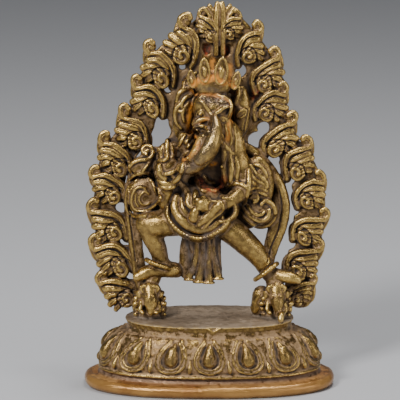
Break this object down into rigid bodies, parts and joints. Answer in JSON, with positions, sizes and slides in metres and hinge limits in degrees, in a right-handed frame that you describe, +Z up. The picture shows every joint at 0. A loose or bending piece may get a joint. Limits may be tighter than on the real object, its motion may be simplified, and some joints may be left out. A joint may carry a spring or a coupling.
{
  "type": "ganesha statue",
  "caption": "Small cast bronze of Ganesha dancing on two rats, inside an openwork flame aureole on an oval lotus pedestal",
  "frame": {"origin": "centre of the pedestal's flat underside, in the middle of its width and depth", "axes": "+X to the viewer's right, +Y away from the viewer, +Z up"},
  "size_m": [0.09, 0.0469, 0.1382],
  "materials": {
    "worn_bronze": "worn yellow-brown bronze, dark and dusty in the hollows"
  },
  "bodies": {
    "root": {"statue": "worn_bronze"}
  },
  "joints": []
}
